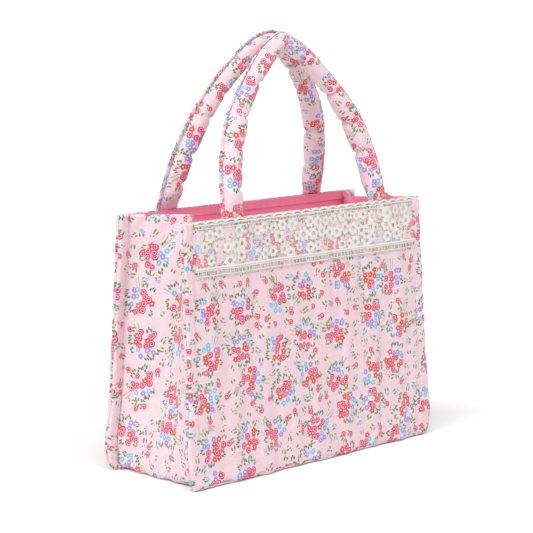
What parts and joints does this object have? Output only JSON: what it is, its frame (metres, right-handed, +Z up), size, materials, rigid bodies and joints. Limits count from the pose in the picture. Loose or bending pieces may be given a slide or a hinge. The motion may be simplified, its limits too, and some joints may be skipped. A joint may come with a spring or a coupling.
{
  "type": "knitting bag",
  "caption": "Open-topped padded fabric tote with inward-folding gussets, corner seam flanges, a lace band and padded tube handles that swing outward.",
  "frame": {"origin": "middle of the base on the floor", "axes": "+X to the right along the front, +Y to the back, +Z up"},
  "size_m": [0.364, 0.136, 0.4587],
  "materials": {
    "printed_cotton": "matte printed plain weave",
    "wadding": "soft polyester wadding",
    "lining": "matte plain weave",
    "lace": "embroidered net",
    "thread": "cotton thread",
    "board": "matte"
  },
  "bodies": {
    "bag": {"front_outer_panel": "printed_cotton", "front_wadding": "wadding", "front_lining": "lining", "front_facing": "lining", "front_handle_tabs": "printed_cotton", "front_corner_stitches": "thread", "back_outer_panel": "printed_cotton", "back_wadding": "wadding", "back_lining": "lining", "back_facing": "lining", "back_handle_tabs": "printed_cotton", "back_corner_stitches": "thread", "left_outer_gusset": "printed_cotton", "left_gusset_wadding": "wadding", "left_gusset_lining": "lining", "left_gusset_facing": "lining", "right_outer_gusset": "printed_cotton", "right_gusset_wadding": "wadding", "right_gusset_lining": "lining", "right_gusset_facing": "lining", "base_outer_panel": "printed_cotton", "base_board": "board", "base_lining": "lining", "lace_net": "lace", "lace_ladder_braid": "lace", "lace_scallop_braid": "lace"},
    "front_handle": {"front_handle_cover": "printed_cotton", "front_handle_core": "wadding"},
    "back_handle": {"back_handle_cover": "printed_cotton", "back_handle_core": "wadding"}
  },
  "joints": [
    {"name": "front_handle_swing", "type": "hinge", "parent": "bag", "child": "front_handle", "pos_m": [0, -0.054, 0.274], "axis": [1, 0, 0], "range_deg": [0, 150]},
    {"name": "back_handle_swing", "type": "hinge", "parent": "bag", "child": "back_handle", "pos_m": [0, 0.054, 0.274], "axis": [-1, 0, 0], "range_deg": [0, 150]}
  ]
}
